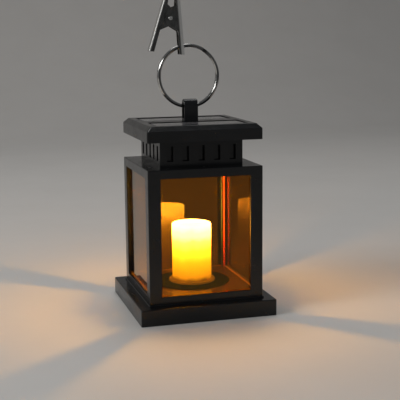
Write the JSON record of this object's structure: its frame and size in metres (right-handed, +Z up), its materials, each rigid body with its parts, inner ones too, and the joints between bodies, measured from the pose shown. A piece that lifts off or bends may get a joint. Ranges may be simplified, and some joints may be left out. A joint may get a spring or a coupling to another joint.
{
  "type": "hanging lantern",
  "caption": "Square black solar lantern with amber windows and an LED candle, hung by a split ring and a spring clip.",
  "frame": {"origin": "centre of the plinth's underside, where the lantern stands", "axes": "+Z up; front face towards -Y; the ring's and clip's plane is XZ"},
  "size_m": [0.11, 0.11, 0.2678],
  "materials": {
    "black_plastic": "moulded, satin to gloss",
    "cover_plastic": "moulded, finely textured",
    "amber_pane": "clear amber",
    "tray_plastic": "glossy, amber brown",
    "seat_plastic": "glossy",
    "candle_wax": "ivory, lit from inside",
    "led_lens": "clear resin",
    "stem_plastic": "moulded",
    "steel_screw": "zinc plated",
    "nickel_ring": "nickel plated",
    "clip_steel": "nickel plated, pressed sheet",
    "pin_steel": "bright",
    "spring_steel": "bright wire",
    "solar_board": "glossy resin",
    "solar_cell": "dark blue cell under clear resin",
    "red_lead": "insulation",
    "black_lead": "insulation",
    "bare_lead": "tinned wire",
    "cell_wrap": "shrink wrap",
    "contact": "nickel plated spring steel",
    "board": "solder mask",
    "board_parts": "moulded cases",
    "liner_sheet": "thin sheet, folded",
    "knob_plastic": "moulded"
  },
  "bodies": {
    "housing": {"base_shell": "black_plastic", "battery_door": "cover_plastic", "board_parts": "board_parts", "board_screws": "steel_screw", "bottom_cover": "cover_plastic", "candle_seat": "seat_plastic", "candle_shell": "candle_wax", "cap": "black_plastic", "cap_screws": "steel_screw", "cell_plate": "contact", "cell_spring": "contact", "circuit_board": "board", "cover_screws": "steel_screw", "door_screw": "steel_screw", "floor_tray": "tray_plastic", "frame": "black_plastic", "hanging_lug": "black_plastic", "led": "led_lens", "led_leads": "bare_lead", "led_stem": "stem_plastic", "lug_screws": "steel_screw", "neck": "black_plastic", "neck_screws": "steel_screw", "pane_front": "amber_pane", "pane_left": "amber_pane", "pane_rear": "amber_pane", "pane_right": "amber_pane", "panel_link": "black_lead", "rechargeable_cell": "cell_wrap", "solar_board_front": "solar_board", "solar_board_rear": "solar_board", "solar_cells_front": "solar_cell", "solar_cells_rear": "solar_cell", "solar_lead_black": "black_lead", "solar_lead_red": "red_lead", "switch_body": "knob_plastic", "tray_screws": "steel_screw", "vent_liner": "liner_sheet"},
    "ring": {"split_ring": "nickel_ring"},
    "clip_outer_half": {"clip_outer": "clip_steel", "clip_pin": "pin_steel", "spring_outer": "spring_steel"},
    "clip_inner_half": {"clip_inner": "clip_steel", "spring_inner": "spring_steel"},
    "switch": {"switch_knob": "knob_plastic"}
  },
  "joints": [
    {"name": "ring_swing", "type": "hinge", "parent": "housing", "child": "ring", "pos_m": [-0.0011, 0, 0.164], "axis": [1, 0, 0], "range_deg": [-90, 90]},
    {"name": "clip_swing", "type": "hinge", "parent": "ring", "child": "clip_outer_half", "pos_m": [-0.00552, 0, 0.21202], "axis": [0.9973, 0, 0.0729], "range_deg": [-60, 60]},
    {"name": "jaw_open", "type": "hinge", "parent": "clip_outer_half", "child": "clip_inner_half", "pos_m": [-0.0159, 0, 0.2338], "axis": [0, -1, 0], "range_deg": [0, 18], "stiffness_Nm_per_rad": 0.06, "springref_deg": -28.65},
    {"name": "switch_slide", "type": "slide", "parent": "housing", "child": "switch", "axis": [1, 0, 0], "range_m": [0, 0.003]}
  ]
}
